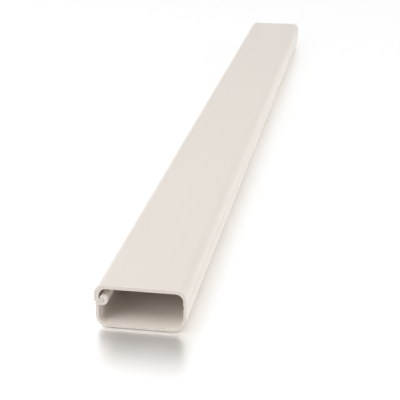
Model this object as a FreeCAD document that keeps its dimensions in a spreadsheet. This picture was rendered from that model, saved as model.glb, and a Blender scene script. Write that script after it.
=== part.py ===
import FreeCAD, Part
import os
import Sketcher

# Cord cover raceway: one straight stick of extruded PVC duct, moulded as one piece.
# A flat base with two low walls carries a cover that turns on a thin line in the right wall
# and snaps over a hook on the left wall. It is drawn shut, as it is sold.
# Length runs along Y, with the cut end that is seen first at -Y. The underside lies at Z = 0
# and the origin is at the middle of it.

SIZES = (
    # The stick
    ("length", 400.0),
    ("width", 30.0),
    ("height", 14.5),
    # Wall thicknesses of the section
    ("top_wall", 1.1),
    ("leg_wall", 1.45),
    ("right_wall", 1.0),
    ("floor_wall", 1.1),
    ("left_wall", 1.0),
    # Corner radii, outside and inside, of the cover and of the base. The base is rounder on
    # the hinged side
    ("cover_radius", 3.2),
    ("ceiling_radius", 2.6),
    ("base_left_radius", 3.8),
    ("floor_left_radius", 2.7),
    ("base_right_radius", 5.0),
    ("floor_right_radius", 3.9),
    # How far the seam and the hinge line lie below the top
    ("cover_depth", 5.7),
    # The left wall stands a little inside the face of the cover's leg
    ("left_inset", 0.45),
    # Latch: the foot of the leg sits in a pocket under the barb of the hook
    ("latch_gap", 0.1),
    ("foot_wall", 0.85),
    ("foot_bevel", 0.2),
    ("barb_wall", 1.2),
    ("shelf_wall", 1.05),
    ("hook_reach", 4.5),
    ("stem_wall", 1.3),
    ("leg_clearance", 0.35),
    ("lead_in", 0.5),
    ("nose_radius", 0.5),
    ("head_radius", 1.0),
    ("curl_radius", 1.9),
    ("seam_radius", 0.4),
    ("edge_radius", 0.15),
    # Hinge line: a fine groove outside and a wider one inside leave a thin web
    ("groove_width", 0.5),
    ("groove_depth", 0.25),
    ("relief_width", 1.2),
    ("hinge_web", 0.5),
)

# Upright lines of the section, from left to right
LEG_OUTSIDE = "-sizes.width / 2"
WALL_OUTSIDE = LEG_OUTSIDE + " + sizes.left_inset"
WALL_INSIDE = WALL_OUTSIDE + " + sizes.left_wall"
LEG_INSIDE = LEG_OUTSIDE + " + sizes.leg_wall"
BARB_TIP = LEG_INSIDE + " + sizes.leg_clearance"
STEM_INSIDE = LEG_OUTSIDE + " + sizes.hook_reach"
STEM_OUTSIDE = STEM_INSIDE + " - sizes.stem_wall"
FOOT_TIP = STEM_OUTSIDE + " - sizes.latch_gap"
RIGHT_OUTSIDE = "sizes.width / 2"
RIGHT_INSIDE = RIGHT_OUTSIDE + " - sizes.right_wall"
GROOVE_ROOT = RIGHT_OUTSIDE + " - sizes.groove_depth"
RELIEF_ROOT = GROOVE_ROOT + " - sizes.hinge_web"

# Level lines of the section, from the underside up
UNDERSIDE = "0 mm"
FLOOR = "sizes.floor_wall"
HINGE = "sizes.height - sizes.cover_depth"
LEDGE = HINGE + " - sizes.latch_gap"
SHELF_UNDER = LEDGE + " - sizes.shelf_wall"
FOOT_TOP = HINGE + " + sizes.foot_wall"
BARB_UNDER = FOOT_TOP + " + sizes.latch_gap"
HOOK_TOP = BARB_UNDER + " + sizes.barb_wall"
CEILING = "sizes.height - sizes.top_wall"

# Corners of the section, from the foot of the leg up, over the cover, down the hinged wall,
# back along the base and up round the hook, then along the inside to the foot again
CORNERS = (
    ("leg_toe", LEG_OUTSIDE, HINGE),
    ("cover_left", LEG_OUTSIDE, "sizes.height"),
    ("cover_right", RIGHT_OUTSIDE, "sizes.height"),
    ("groove_upper", RIGHT_OUTSIDE, HINGE + " + sizes.groove_width / 2"),
    ("groove_root", GROOVE_ROOT, HINGE),
    ("groove_lower", RIGHT_OUTSIDE, HINGE + " - sizes.groove_width / 2"),
    ("base_right", RIGHT_OUTSIDE, UNDERSIDE),
    ("base_left", WALL_OUTSIDE, UNDERSIDE),
    ("ledge_edge", WALL_OUTSIDE, LEDGE),
    ("pocket_lower", STEM_OUTSIDE, LEDGE),
    ("pocket_upper", STEM_OUTSIDE, BARB_UNDER),
    ("barb_lower", BARB_TIP, BARB_UNDER),
    ("barb_upper", BARB_TIP, HOOK_TOP + " - sizes.lead_in"),
    ("hook_front", BARB_TIP + " + sizes.lead_in", HOOK_TOP),
    ("hook_back", STEM_INSIDE, HOOK_TOP),
    ("hook_curl", STEM_INSIDE, SHELF_UNDER),
    ("shelf_root", WALL_INSIDE, SHELF_UNDER),
    ("floor_left", WALL_INSIDE, FLOOR),
    ("floor_right", RIGHT_INSIDE, FLOOR),
    ("relief_lower", RIGHT_INSIDE, HINGE + " - sizes.relief_width / 2"),
    ("relief_root", RELIEF_ROOT, HINGE),
    ("relief_upper", RIGHT_INSIDE, HINGE + " + sizes.relief_width / 2"),
    ("ceiling_right", RIGHT_INSIDE, CEILING),
    ("ceiling_left", LEG_INSIDE, CEILING),
    ("foot_root", LEG_INSIDE, FOOT_TOP),
    ("foot_upper", FOOT_TIP, FOOT_TOP),
    ("foot_lower", FOOT_TIP, HINGE + " + sizes.foot_bevel"),
    ("foot_front", FOOT_TIP + " - sizes.foot_bevel", HINGE),
)

# Roundings that run the whole length: feature name, radius, corners
ROUNDINGS = (
    ("CoverCorners", "sizes.cover_radius", ("cover_left", "cover_right")),
    ("CeilingCorners", "sizes.ceiling_radius", ("ceiling_left", "ceiling_right")),
    ("BaseLeft", "sizes.base_left_radius", ("base_left",)),
    ("FloorLeft", "sizes.floor_left_radius", ("floor_left",)),
    ("BaseRight", "sizes.base_right_radius", ("base_right",)),
    ("FloorRight", "sizes.floor_right_radius", ("floor_right",)),
    ("HookCurl", "sizes.curl_radius", ("hook_curl",)),
    ("HookHead", "sizes.head_radius", ("hook_back",)),
    ("HookNose", "sizes.nose_radius", ("barb_upper", "hook_front")),
    ("SeamEdges", "sizes.seam_radius", ("leg_toe", "ledge_edge")),
    ("LatchEdges", "sizes.edge_radius", ("barb_lower", "foot_upper", "shelf_root")),
    ("HingeEdges", "sizes.edge_radius", ("groove_upper", "groove_lower")),
)

MATCH = 1e-4


def make_sheet(doc):
    """The driving sizes, in millimetres, one to a row."""
    sheet = doc.addObject("Spreadsheet::Sheet", "sizes")
    for row, (name, value) in enumerate(SIZES, start=1):
        sheet.set(f"A{row}", name.replace("_", " "))
        sheet.set(f"B{row}", str(value))
        sheet.setAlias(f"B{row}", name)
    doc.recompute()


def origin_plane(body, role):
    """One of the body's own base planes."""
    return next(plane for plane in body.Origin.OriginFeatures if plane.Role == role)


def draw_outline(sketch, corners):
    """Close a straight-sided outline through named corners.

    A corner that shares a coordinate with the one before it is held by an upright or a
    level line. Any other coordinate gets a dimension from the origin.
    """
    count = len(corners)
    rough = [FreeCAD.Vector(index, index % 2, 0) for index in range(1, count + 1)]
    for index in range(count):
        sketch.addGeometry(Part.LineSegment(rough[index], rough[(index + 1) % count]), False)
    for index, corner in enumerate(corners):
        before = (index - 1) % count
        sketch.addConstraint(Sketcher.Constraint("Coincident", before, 2, index, 1))
        for axis, dimension, straight in ((1, "DistanceX", "Vertical"), (2, "DistanceY", "Horizontal")):
            if corner[axis] == corners[before][axis]:
                sketch.addConstraint(Sketcher.Constraint(straight, before))
            else:
                held = Sketcher.Constraint(dimension, -1, 1, index, 1, 1.0)
                number = sketch.addConstraint(held)
                sketch.setExpression(f"Constraints[{number}]", corner[axis])


def lengthwise_edges(shape, spots):
    """Names of the edges that run along Y through the given points of the section."""
    names = []
    for number, edge in enumerate(shape.Edges, start=1):
        ends = [vertex.Point for vertex in edge.Vertexes]
        for spot in spots:
            misses = [max(abs(end.x - spot.x), abs(end.z - spot.y)) for end in ends]
            if len(ends) == 2 and max(misses) < MATCH:
                names.append(f"Edge{number}")
    if len(names) != len(spots):
        raise ValueError(f"{len(names)} edges found for {len(spots)} corners")
    return names


def make_raceway(doc):
    """The whole stick: its section drawn once, run out to length, and its corners rounded."""
    body = doc.addObject("PartDesign::Body", "Raceway")
    body.Label = "raceway"
    sketch = body.newObject("Sketcher::SketchObject", "Section")
    sketch.AttachmentSupport = [(origin_plane(body, "XZ_Plane"), "")]
    sketch.MapMode = "FlatFace"
    draw_outline(sketch, CORNERS)
    doc.recompute()

    stick = body.newObject("PartDesign::Pad", "Stick")
    stick.Profile = sketch
    stick.SideType = "Symmetric"
    stick.setExpression("Length", "sizes.length")
    doc.recompute()

    order = [corner[0] for corner in CORNERS]
    rounded = stick
    for name, radius, corners in ROUNDINGS:
        spots = [sketch.getPoint(order.index(corner), 1) for corner in corners]
        rounding = body.newObject("PartDesign::Fillet", name)
        rounding.Base = (rounded, lengthwise_edges(rounded.Shape, spots))
        rounding.setExpression("Radius", radius)
        doc.recompute()
        rounded = rounding
    body.Tip = rounded
    body.Placement = FreeCAD.Placement()
    return body


def check(doc, bodies):
    """Stop before anything is written if an object failed or a shape isn't sound."""
    for item in doc.Objects:
        if "Invalid" in item.State or "Error" in item.State:
            raise RuntimeError(f"{item.Name} failed: {item.State}")
    for body in bodies:
        if body.Shape.isNull() or not body.Shape.isValid():
            raise RuntimeError(f"{body.Label} has no sound shape")


def main():
    doc = FreeCAD.newDocument("CordCoverRaceway")
    make_sheet(doc)
    bodies = [make_raceway(doc)]
    doc.recompute()
    check(doc, bodies)
    os.makedirs("parts", exist_ok=True)
    for body in bodies:
        body.Shape.exportStep(f"parts/{body.Label}.step")
        box = body.Shape.BoundBox
        print(f"{body.Label}: {box.XLength:.2f} x {box.YLength:.2f} x {box.ZLength:.2f} mm, "
              f"{body.Shape.Volume / 1000:.2f} cubic centimetres")


main()
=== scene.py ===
import math

import bmesh
import bpy
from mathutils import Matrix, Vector


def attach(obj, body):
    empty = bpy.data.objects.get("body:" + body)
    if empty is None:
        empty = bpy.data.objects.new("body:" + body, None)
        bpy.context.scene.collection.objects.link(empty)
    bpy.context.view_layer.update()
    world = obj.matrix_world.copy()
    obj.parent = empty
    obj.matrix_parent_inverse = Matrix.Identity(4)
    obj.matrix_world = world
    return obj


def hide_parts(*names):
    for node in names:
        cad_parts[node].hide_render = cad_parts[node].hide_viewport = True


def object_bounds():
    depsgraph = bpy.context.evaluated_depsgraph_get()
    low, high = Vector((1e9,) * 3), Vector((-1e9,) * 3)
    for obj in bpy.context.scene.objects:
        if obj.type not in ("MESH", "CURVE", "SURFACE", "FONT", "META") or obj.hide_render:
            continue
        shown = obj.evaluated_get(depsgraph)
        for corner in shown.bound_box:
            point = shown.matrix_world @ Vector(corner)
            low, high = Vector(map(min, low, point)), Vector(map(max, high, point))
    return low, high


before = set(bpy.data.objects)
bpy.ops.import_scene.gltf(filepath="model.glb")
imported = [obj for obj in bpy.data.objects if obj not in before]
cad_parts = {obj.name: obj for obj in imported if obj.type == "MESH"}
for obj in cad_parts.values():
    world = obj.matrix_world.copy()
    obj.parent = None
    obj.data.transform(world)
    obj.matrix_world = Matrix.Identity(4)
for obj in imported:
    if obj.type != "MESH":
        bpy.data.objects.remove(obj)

# Cord cover raceway: one straight stick of ivory PVC duct with a cover that is hinged on a thin
# line in its right wall and snapped over a hook on its left wall. Metres throughout.

MM = 0.001
CAD_LOW, CAD_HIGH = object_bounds()
NEAR_END = CAD_LOW.y
FAR_END = CAD_HIGH.y
HALF_WIDTH = CAD_HIGH.x
HEIGHT = CAD_HIGH.z

# Walls of the section
TOP_WALL = 1.1 * MM
LEG_WALL = 1.45 * MM
RIGHT_WALL = 1.0 * MM
FLOOR_WALL = 1.1 * MM
LEFT_WALL = 1.0 * MM
LEFT_INSET = 0.45 * MM

# Corner radii of the cover and the base, outside and inside
COVER_RADIUS = 3.2 * MM
CEILING_RADIUS = 2.6 * MM
BASE_LEFT_RADIUS = 3.8 * MM
FLOOR_LEFT_RADIUS = 2.7 * MM
BASE_RIGHT_RADIUS = 5.0 * MM
FLOOR_RIGHT_RADIUS = 3.9 * MM

# The seam on the left and the hinge line on the right lie at one level
COVER_DEPTH = 5.7 * MM
HINGE_LEVEL = HEIGHT - COVER_DEPTH
GROOVE_WIDTH = 0.5 * MM
GROOVE_DEPTH = 0.25 * MM
RELIEF_WIDTH = 1.2 * MM
HINGE_WEB = 0.5 * MM

# Latch: the foot of the cover's leg sits in a pocket under the barb of the hook
LATCH_GAP = 0.1 * MM
FOOT_WALL = 0.85 * MM
FOOT_BEVEL = 0.2 * MM
BARB_WALL = 1.2 * MM
SHELF_WALL = 1.05 * MM
HOOK_REACH = 4.5 * MM
STEM_WALL = 1.3 * MM
LEG_CLEARANCE = 0.35 * MM
LEAD_IN = 0.5 * MM
NOSE_RADIUS = 0.5 * MM
HEAD_RADIUS = 1.0 * MM
CURL_RADIUS = 1.9 * MM
SEAM_RADIUS = 0.4 * MM
EDGE_RADIUS = 0.15 * MM
ROOT_RADIUS = 0.08 * MM

# Steps of an arc, so that it looks round in a close view
STEPS_PER_MM = 5
FEWEST_STEPS = 3
MOST_STEPS = 14

# The saw leaves the edges of a cut end slightly broken. An edge whose ends lie this close
# along the stick belongs to a cut, and a face turned this far along it is sawn
CUT_EDGE = 0.06 * MM
CUT_STEPS = 2
SAME_END = 0.1 * MM
# Such faces also take a darker colour, which is painted shade on the cut ends
CUT_FACING = 0.3

# Finishes: what the die draws along the stick, and what the blade leaves across a cut
DIE_LINES_PER_METRE = 3500.0
DIE_LINE_LENGTH = 90.0
DIE_LINE_DEPTH = 0.008 * MM
SAW_MARKS_PER_METRE = 4200.0
SAW_MARK_DEPTH = 0.03 * MM
BLADE_CENTRE = (0.03, 0.0, 0.13)

# Light of the studio: the even light on the object, the white that is seen and mirrored, and
# what is added to the floor for the camera alone
WORLD_LEVEL = 0.08
WHITE_LEVEL = 1.0
FLOOR_LIFT = 0.03
FLOOR_MIRROR = 0.75
FLOOR_ROUGHNESS = 0.32

# The floor gets whiter for the camera between these distances from the middle of the stick
WHITER_FROM = 0.35
WHITER_TO = 1.2
FAR_LIFT = 0.5

# The stick is hardly ever quite flat, so a hair of air lies under it
FLOOR_LEVEL = -0.25 * MM
FLOOR_REACH = 6.0

# Camera of the photo: how far it is turned down from level and to the left, in degrees
CAMERA_PLACE = (0.07233, -0.50740, 0.16680)
CAMERA_DIP = 21.20
CAMERA_TURN = 9.776
CAMERA_LENS = 99.45

# Soft lamps: name, place, what it is turned to, width, height and power in watts
STUDIO_LAMPS = (
    ("key_left", (-0.8, -1.0, 0.8), (0.0, -0.2, 0.0), 1.1, 1.1, 8.6),
    ("right_side", (1.1, 0.0, 0.45), (0.0, 0.0, 0.0), 1.4, 0.7, 6.0),
    ("left_high", (-0.7, 0.5, 1.1), (0.0, 0.1, 0.0), 1.2, 1.2, 4.2),
    ("overhead", (0.0, 0.1, 1.3), (0.0, 0.0, 0.0), 1.4, 1.4, 0.9),
    ("front_over", (0.0, -0.9, 1.9), (0.0, 0.0, 0.0), 1.4, 1.2, 14.0),
    ("front_top", (-0.1, -0.6, 1.0), (0.0, -0.2, 0.0), 0.8, 0.8, 1.4),
)


def section_corners():
    """Corners of the section: name, x, z and the radius that the corner is drawn with."""
    left = -HALF_WIDTH
    right = HALF_WIDTH
    wall_outside = left + LEFT_INSET
    wall_inside = wall_outside + LEFT_WALL
    leg_inside = left + LEG_WALL
    barb_tip = leg_inside + LEG_CLEARANCE
    stem_inside = left + HOOK_REACH
    stem_outside = stem_inside - STEM_WALL
    foot_tip = stem_outside - LATCH_GAP
    right_inside = right - RIGHT_WALL
    ledge = HINGE_LEVEL - LATCH_GAP
    shelf_under = ledge - SHELF_WALL
    foot_top = HINGE_LEVEL + FOOT_WALL
    barb_under = foot_top + LATCH_GAP
    hook_top = barb_under + BARB_WALL
    ceiling = HEIGHT - TOP_WALL
    return (
        ("leg_toe", left, HINGE_LEVEL, SEAM_RADIUS),
        ("cover_left", left, HEIGHT, COVER_RADIUS),
        ("cover_right", right, HEIGHT, COVER_RADIUS),
        ("groove_upper", right, HINGE_LEVEL + GROOVE_WIDTH / 2, EDGE_RADIUS),
        ("groove_root", right - GROOVE_DEPTH, HINGE_LEVEL, ROOT_RADIUS),
        ("groove_lower", right, HINGE_LEVEL - GROOVE_WIDTH / 2, EDGE_RADIUS),
        ("base_right", right, 0.0, BASE_RIGHT_RADIUS),
        ("base_left", wall_outside, 0.0, BASE_LEFT_RADIUS),
        ("ledge_edge", wall_outside, ledge, SEAM_RADIUS),
        ("pocket_lower", stem_outside, ledge, ROOT_RADIUS),
        ("pocket_upper", stem_outside, barb_under, ROOT_RADIUS),
        ("barb_lower", barb_tip, barb_under, EDGE_RADIUS),
        ("barb_upper", barb_tip, hook_top - LEAD_IN, NOSE_RADIUS),
        ("hook_front", barb_tip + LEAD_IN, hook_top, NOSE_RADIUS),
        ("hook_back", stem_inside, hook_top, HEAD_RADIUS),
        ("hook_curl", stem_inside, shelf_under, CURL_RADIUS),
        ("shelf_root", wall_inside, shelf_under, EDGE_RADIUS),
        ("floor_left", wall_inside, FLOOR_WALL, FLOOR_LEFT_RADIUS),
        ("floor_right", right_inside, FLOOR_WALL, FLOOR_RIGHT_RADIUS),
        ("relief_lower", right_inside, HINGE_LEVEL - RELIEF_WIDTH / 2, EDGE_RADIUS),
        ("relief_root", right - GROOVE_DEPTH - HINGE_WEB, HINGE_LEVEL, EDGE_RADIUS),
        ("relief_upper", right_inside, HINGE_LEVEL + RELIEF_WIDTH / 2, EDGE_RADIUS),
        ("ceiling_right", right_inside, ceiling, CEILING_RADIUS),
        ("ceiling_left", leg_inside, ceiling, CEILING_RADIUS),
        ("foot_root", leg_inside, foot_top, ROOT_RADIUS),
        ("foot_upper", foot_tip, foot_top, EDGE_RADIUS),
        ("foot_lower", foot_tip, HINGE_LEVEL + FOOT_BEVEL, EDGE_RADIUS),
        ("foot_front", foot_tip - FOOT_BEVEL, HINGE_LEVEL, EDGE_RADIUS),
    )


def arc_steps(length):
    """Steps for an arc of the given length."""
    return max(FEWEST_STEPS, min(MOST_STEPS, round(length / MM * STEPS_PER_MM)))


def draw_section(bm):
    """The section at the near end as one face, with every corner rounded to its radius."""
    corners = section_corners()
    points = [bm.verts.new((x, NEAR_END, z)) for name, x, z, radius in corners]
    bm.faces.new(points)
    count = len(corners)
    cuts = []
    for index, (name, x, z, radius) in enumerate(corners):
        here = Vector((x, z))
        before = Vector(corners[index - 1][1:3])
        after = Vector(corners[(index + 1) % count][1:3])
        turn = (here - before).angle(after - here)
        cuts.append((points[index], radius * math.tan(turn / 2), arc_steps(radius * turn)))
    for point, reach, steps in cuts:
        bmesh.ops.bevel(
            bm, geom=[point], offset=reach, offset_type="OFFSET", segments=steps,
            profile=0.5, affect="VERTICES", material=-1,
        )


def run_out(bm):
    """Extrude the section along the whole stick and close it."""
    section = list(bm.faces)
    run = bmesh.ops.extrude_face_region(bm, geom=section)
    moved = [part for part in run["geom"] if isinstance(part, bmesh.types.BMVert)]
    bmesh.ops.translate(bm, verts=moved, vec=(0.0, FAR_END - NEAR_END, 0.0))
    bmesh.ops.recalc_face_normals(bm, faces=bm.faces)


def break_cut_edges(bm):
    """Take the sharp edge off both sawn ends."""
    rims = [edge for edge in bm.edges if abs(edge.verts[0].co.y - edge.verts[1].co.y) < SAME_END]
    bmesh.ops.bevel(
        bm, geom=rims, offset=CUT_EDGE, offset_type="OFFSET", segments=CUT_STEPS,
        profile=0.5, affect="EDGES", material=-1,
    )


def make_stick():
    """The whole stick, with the sawn finish and its painted shade on what faces along it."""
    bm = bmesh.new()
    draw_section(bm)
    run_out(bm)
    break_cut_edges(bm)
    for face in bm.faces:
        face.smooth = True
        # Faces along the stick take the sawn material, whose darker colour is painted shade
        face.material_index = 1 if abs(face.normal.y) > CUT_FACING else 0
    mesh = bpy.data.meshes.new("raceway_stick")
    bm.to_mesh(mesh)
    bm.free()
    stick = bpy.data.objects.new("raceway_stick", mesh)
    bpy.context.scene.collection.objects.link(stick)
    even = stick.modifiers.new("EvenShading", "WEIGHTED_NORMAL")
    even.keep_sharp = True
    even.weight = 100
    return stick


def node(tree, kind, place, **settings):
    """A shader node at its place in the editor."""
    made = tree.nodes.new(kind)
    made.location = place
    for name, value in settings.items():
        setattr(made, name, value)
    return made


def socket_in(group, name, value):
    made = group.interface.new_socket(name, in_out="INPUT", socket_type="NodeSocketFloat")
    made.default_value = value


def socket_out(group, name):
    group.interface.new_socket(name, in_out="OUTPUT", socket_type="NodeSocketFloat")


def make_die_lines():
    """What the extrusion die draws along the stick: fine lines, broad bands and a slow drift."""
    group = bpy.data.node_groups.new("die_lines", "ShaderNodeTree")
    socket_in(group, "Lines per Metre", DIE_LINES_PER_METRE)
    socket_in(group, "Length of a Line", DIE_LINE_LENGTH)
    for name in ("Fine", "Broad", "Drift"):
        socket_out(group, name)
    given = node(group, "NodeGroupInput", (-900, 0))
    place = node(group, "ShaderNodeTexCoord", (-900, -200))
    along = node(group, "ShaderNodeMath", (-700, 0), operation="DIVIDE")
    group.links.new(given.outputs["Lines per Metre"], along.inputs[0])
    group.links.new(given.outputs["Length of a Line"], along.inputs[1])
    spacing = node(group, "ShaderNodeCombineXYZ", (-500, 0))
    group.links.new(given.outputs["Lines per Metre"], spacing.inputs["X"])
    group.links.new(along.outputs[0], spacing.inputs["Y"])
    group.links.new(given.outputs["Lines per Metre"], spacing.inputs["Z"])
    drawn = node(group, "ShaderNodeVectorMath", (-300, 0), operation="MULTIPLY")
    group.links.new(place.outputs["Object"], drawn.inputs[0])
    group.links.new(spacing.outputs[0], drawn.inputs[1])
    end = node(group, "NodeGroupOutput", (200, 0))
    for name, scale, detail, height, source in (
        ("Fine", 1.0, 3.0, 200, drawn.outputs[0]),
        ("Broad", 0.12, 2.0, 0, drawn.outputs[0]),
        ("Drift", 28.0, 2.0, -200, place.outputs["Object"]),
    ):
        noise = node(group, "ShaderNodeTexNoise", (-100, height))
        noise.inputs["Scale"].default_value = scale
        noise.inputs["Detail"].default_value = detail
        noise.inputs["Roughness"].default_value = 0.55
        group.links.new(source, noise.inputs["Vector"])
        group.links.new(noise.outputs["Fac"], end.inputs[name])
    return group


def make_saw_marks():
    """Arcs that the saw blade leaves across a cut end, and the torn grain between them."""
    group = bpy.data.node_groups.new("saw_marks", "ShaderNodeTree")
    socket_in(group, "Marks per Metre", SAW_MARKS_PER_METRE)
    for name in ("Marks", "Grain"):
        socket_out(group, name)
    given = node(group, "NodeGroupInput", (-900, 0))
    place = node(group, "ShaderNodeTexCoord", (-900, -200))
    from_blade = node(group, "ShaderNodeVectorMath", (-700, -200), operation="SUBTRACT")
    from_blade.inputs[1].default_value = BLADE_CENTRE
    group.links.new(place.outputs["Object"], from_blade.inputs[0])
    flat = node(group, "ShaderNodeVectorMath", (-500, -200), operation="MULTIPLY")
    flat.inputs[1].default_value = (1.0, 0.0, 1.0)
    group.links.new(from_blade.outputs[0], flat.inputs[0])
    radius = node(group, "ShaderNodeVectorMath", (-300, -200), operation="LENGTH")
    group.links.new(flat.outputs[0], radius.inputs[0])
    count = node(group, "ShaderNodeMath", (-200, 0), operation="MULTIPLY")
    group.links.new(radius.outputs["Value"], count.inputs[0])
    group.links.new(given.outputs["Marks per Metre"], count.inputs[1])
    arcs = node(group, "ShaderNodeTexNoise", (-50, 0), noise_dimensions="1D")
    arcs.inputs["Scale"].default_value = 1.0
    arcs.inputs["Detail"].default_value = 3.0
    group.links.new(count.outputs[0], arcs.inputs["W"])
    grain = node(group, "ShaderNodeTexNoise", (-50, -300))
    grain.inputs["Scale"].default_value = 2600.0
    grain.inputs["Detail"].default_value = 4.0
    group.links.new(place.outputs["Object"], grain.inputs["Vector"])
    end = node(group, "NodeGroupOutput", (200, 0))
    group.links.new(arcs.outputs["Fac"], end.inputs["Marks"])
    group.links.new(grain.outputs["Fac"], end.inputs["Grain"])
    return group


def placed(tree, group, place, **values):
    """A node group in a material, with its own values."""
    made = node(tree, "ShaderNodeGroup", place, node_tree=group)
    for name, value in values.items():
        made.inputs[name.replace("_", " ")].default_value = value
    return made


def blended(tree, factor, place, low, high):
    """A colour that goes from low to high as the factor goes through the middle of its range."""
    ramp = node(tree, "ShaderNodeValToRGB", place)
    ramp.color_ramp.elements[0].position = 0.3
    ramp.color_ramp.elements[0].color = low
    ramp.color_ramp.elements[1].position = 0.7
    ramp.color_ramp.elements[1].color = high
    tree.links.new(factor, ramp.inputs["Fac"])
    return ramp.outputs["Color"]


def ranged(tree, factor, place, low, high):
    """A value that goes from low to high as the factor goes through the middle of its range."""
    made = node(tree, "ShaderNodeMapRange", place)
    made.inputs["From Min"].default_value = 0.3
    made.inputs["From Max"].default_value = 0.7
    made.inputs["To Min"].default_value = low
    made.inputs["To Max"].default_value = high
    tree.links.new(factor, made.inputs["Value"])
    return made.outputs["Result"]


def mean_of(tree, first, second, place):
    """The sum of two patterns, brought back to their own range."""
    total = node(tree, "ShaderNodeMath", place, operation="ADD")
    tree.links.new(first, total.inputs[0])
    tree.links.new(second, total.inputs[1])
    half = node(tree, "ShaderNodeMath", (place[0] + 150, place[1]), operation="MULTIPLY")
    half.inputs[1].default_value = 0.5
    tree.links.new(total.outputs[0], half.inputs[0])
    return half.outputs[0]


def raised(tree, height, depth, strength, place):
    """A Bump node for a pattern of the given depth in metres."""
    bump = node(tree, "ShaderNodeBump", place)
    bump.inputs["Strength"].default_value = strength
    bump.inputs["Distance"].default_value = depth
    tree.links.new(height, bump.inputs["Height"])
    return bump.outputs["Normal"]


def make_ivory_pvc(die_lines):
    """Satin ivory PVC as it leaves the die."""
    material = bpy.data.materials.new("ivory_pvc")
    material.use_nodes = True
    tree = material.node_tree
    shader = tree.nodes["Principled BSDF"]
    shader.inputs["IOR"].default_value = 1.5
    lines = placed(
        tree, die_lines, (-900, 0),
        Lines_per_Metre=DIE_LINES_PER_METRE, Length_of_a_Line=DIE_LINE_LENGTH,
    )
    tone = mean_of(tree, lines.outputs["Broad"], lines.outputs["Drift"], (-700, 200))
    colour = blended(tree, tone, (-400, 300), (0.793, 0.733, 0.672, 1.0), (0.807, 0.747, 0.688, 1.0))
    tree.links.new(colour, shader.inputs["Base Color"])
    gloss = mean_of(tree, lines.outputs["Fine"], lines.outputs["Broad"], (-700, -100))
    tree.links.new(ranged(tree, gloss, (-400, 0), 0.39, 0.44), shader.inputs["Roughness"])
    normal = raised(tree, lines.outputs["Fine"], DIE_LINE_DEPTH, 0.5, (-300, -300))
    tree.links.new(normal, shader.inputs["Normal"])
    return material


def make_sawn_face_painted_shade(saw_marks):
    """The same PVC where the saw has cut it: duller and marked in arcs, with a darker colour that is
    painted shade.
    """
    material = bpy.data.materials.new("sawn_face_painted_shade")
    material.use_nodes = True
    tree = material.node_tree
    shader = tree.nodes["Principled BSDF"]
    shader.inputs["IOR"].default_value = 1.45
    marks = placed(tree, saw_marks, (-900, 0), Marks_per_Metre=SAW_MARKS_PER_METRE)
    tone = mean_of(tree, marks.outputs["Marks"], marks.outputs["Grain"], (-700, 200))
    # Painted shade: the cut ends are coloured darker than the drawn PVC, and the saw marks and grain
    # vary that colour
    colour = blended(tree, tone, (-400, 300), (0.572, 0.526, 0.475, 1.0), (0.632, 0.583, 0.535, 1.0))
    tree.links.new(colour, shader.inputs["Base Color"])
    tree.links.new(ranged(tree, tone, (-400, 0), 0.74, 0.58), shader.inputs["Roughness"])
    normal = raised(tree, tone, SAW_MARK_DEPTH, 0.6, (-300, -300))
    tree.links.new(normal, shader.inputs["Normal"])
    return material


def make_floor():
    """A pale floor with a soft mirror, lifted to white for the camera away from the stick."""
    bm = bmesh.new()
    bmesh.ops.create_grid(bm, x_segments=1, y_segments=1, size=FLOOR_REACH)
    bmesh.ops.translate(bm, verts=bm.verts, vec=(0.0, 0.0, FLOOR_LEVEL))
    mesh = bpy.data.meshes.new("studio_floor")
    bm.to_mesh(mesh)
    bm.free()
    floor = bpy.data.objects.new("studio_floor", mesh)
    bpy.context.scene.collection.objects.link(floor)
    material = bpy.data.materials.new("studio_floor")
    material.use_nodes = True
    tree = material.node_tree
    tree.nodes.clear()
    matt = node(tree, "ShaderNodeBsdfDiffuse", (0, 200))
    matt.inputs["Color"].default_value = (0.92, 0.92, 0.92, 1.0)
    polish = node(tree, "ShaderNodeBsdfGlossy", (0, 0))
    polish.inputs["Color"].default_value = (1.0, 1.0, 1.0, 1.0)
    polish.inputs["Roughness"].default_value = FLOOR_ROUGHNESS
    both = node(tree, "ShaderNodeMixShader", (200, 100))
    both.inputs["Fac"].default_value = FLOOR_MIRROR
    tree.links.new(matt.outputs[0], both.inputs[1])
    tree.links.new(polish.outputs[0], both.inputs[2])
    lift = node(tree, "ShaderNodeEmission", (200, -100))
    place = node(tree, "ShaderNodeTexCoord", (-800, -300))
    away = node(tree, "ShaderNodeVectorMath", (-600, -300), operation="LENGTH")
    tree.links.new(place.outputs["Object"], away.inputs[0])
    far = node(tree, "ShaderNodeMapRange", (-400, -300), interpolation_type="SMOOTHSTEP")
    far.inputs["From Min"].default_value = WHITER_FROM
    far.inputs["From Max"].default_value = WHITER_TO
    far.inputs["To Min"].default_value = FLOOR_LIFT
    far.inputs["To Max"].default_value = FAR_LIFT
    tree.links.new(away.outputs["Value"], far.inputs["Value"])
    seen = node(tree, "ShaderNodeLightPath", (-400, -100))
    strength = node(tree, "ShaderNodeMath", (0, -200), operation="MULTIPLY")
    tree.links.new(seen.outputs["Is Camera Ray"], strength.inputs[0])
    tree.links.new(far.outputs["Result"], strength.inputs[1])
    tree.links.new(strength.outputs[0], lift.inputs["Strength"])
    total = node(tree, "ShaderNodeAddShader", (400, 0))
    tree.links.new(both.outputs[0], total.inputs[0])
    tree.links.new(lift.outputs[0], total.inputs[1])
    end = node(tree, "ShaderNodeOutputMaterial", (600, 0))
    tree.links.new(total.outputs[0], end.inputs["Surface"])
    mesh.materials.append(material)


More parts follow.
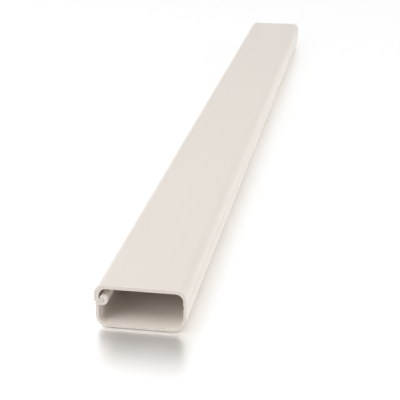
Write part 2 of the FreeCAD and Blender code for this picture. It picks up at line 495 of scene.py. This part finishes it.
def make_world():
    """Even light on the object, and white behind it for the camera and in mirrors."""
    world = bpy.data.worlds.new("studio")
    bpy.context.scene.world = world
    world.use_nodes = True
    tree = world.node_tree
    tree.nodes.clear()
    seen = node(tree, "ShaderNodeLightPath", (-400, 0))
    either = node(tree, "ShaderNodeMath", (-200, 0), operation="MAXIMUM")
    tree.links.new(seen.outputs["Is Camera Ray"], either.inputs[0])
    tree.links.new(seen.outputs["Is Glossy Ray"], either.inputs[1])
    level = node(tree, "ShaderNodeMapRange", (0, 0))
    level.inputs["To Min"].default_value = WORLD_LEVEL
    level.inputs["To Max"].default_value = WHITE_LEVEL
    tree.links.new(either.outputs[0], level.inputs["Value"])
    back = node(tree, "ShaderNodeBackground", (200, 0))
    back.inputs["Color"].default_value = (1.0, 1.0, 1.0, 1.0)
    tree.links.new(level.outputs[0], back.inputs["Strength"])
    end = node(tree, "ShaderNodeOutputWorld", (400, 0))
    tree.links.new(back.outputs[0], end.inputs["Surface"])


def soft_lamp(name, place, target, width, height, power):
    lamp = bpy.data.lights.new(name, "AREA")
    lamp.shape = "RECTANGLE"
    lamp.size = width
    lamp.size_y = height
    lamp.energy = power
    holder = bpy.data.objects.new(name, lamp)
    bpy.context.scene.collection.objects.link(holder)
    holder.location = place
    holder.rotation_euler = (Vector(target) - Vector(place)).to_track_quat("-Z", "Y").to_euler()


def make_camera():
    lens = bpy.data.cameras.new("photo_camera")
    lens.sensor_width = 36.0
    lens.lens = CAMERA_LENS
    lens.clip_start = 0.01
    lens.clip_end = 50.0
    camera = bpy.data.objects.new("photo_camera", lens)
    bpy.context.scene.collection.objects.link(camera)
    camera.location = CAMERA_PLACE
    camera.rotation_euler = (math.radians(90.0 - CAMERA_DIP), 0.0, math.radians(CAMERA_TURN))
    bpy.context.scene.camera = camera


stick = make_stick()
stick.data.materials.append(make_ivory_pvc(make_die_lines()))
stick.data.materials.append(make_sawn_face_painted_shade(make_saw_marks()))
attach(stick, "root")
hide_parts("raceway")

make_floor()
make_world()
for lamp_values in STUDIO_LAMPS:
    soft_lamp(*lamp_values)
make_camera()

scene = bpy.context.scene
scene.view_settings.view_transform = "Standard"
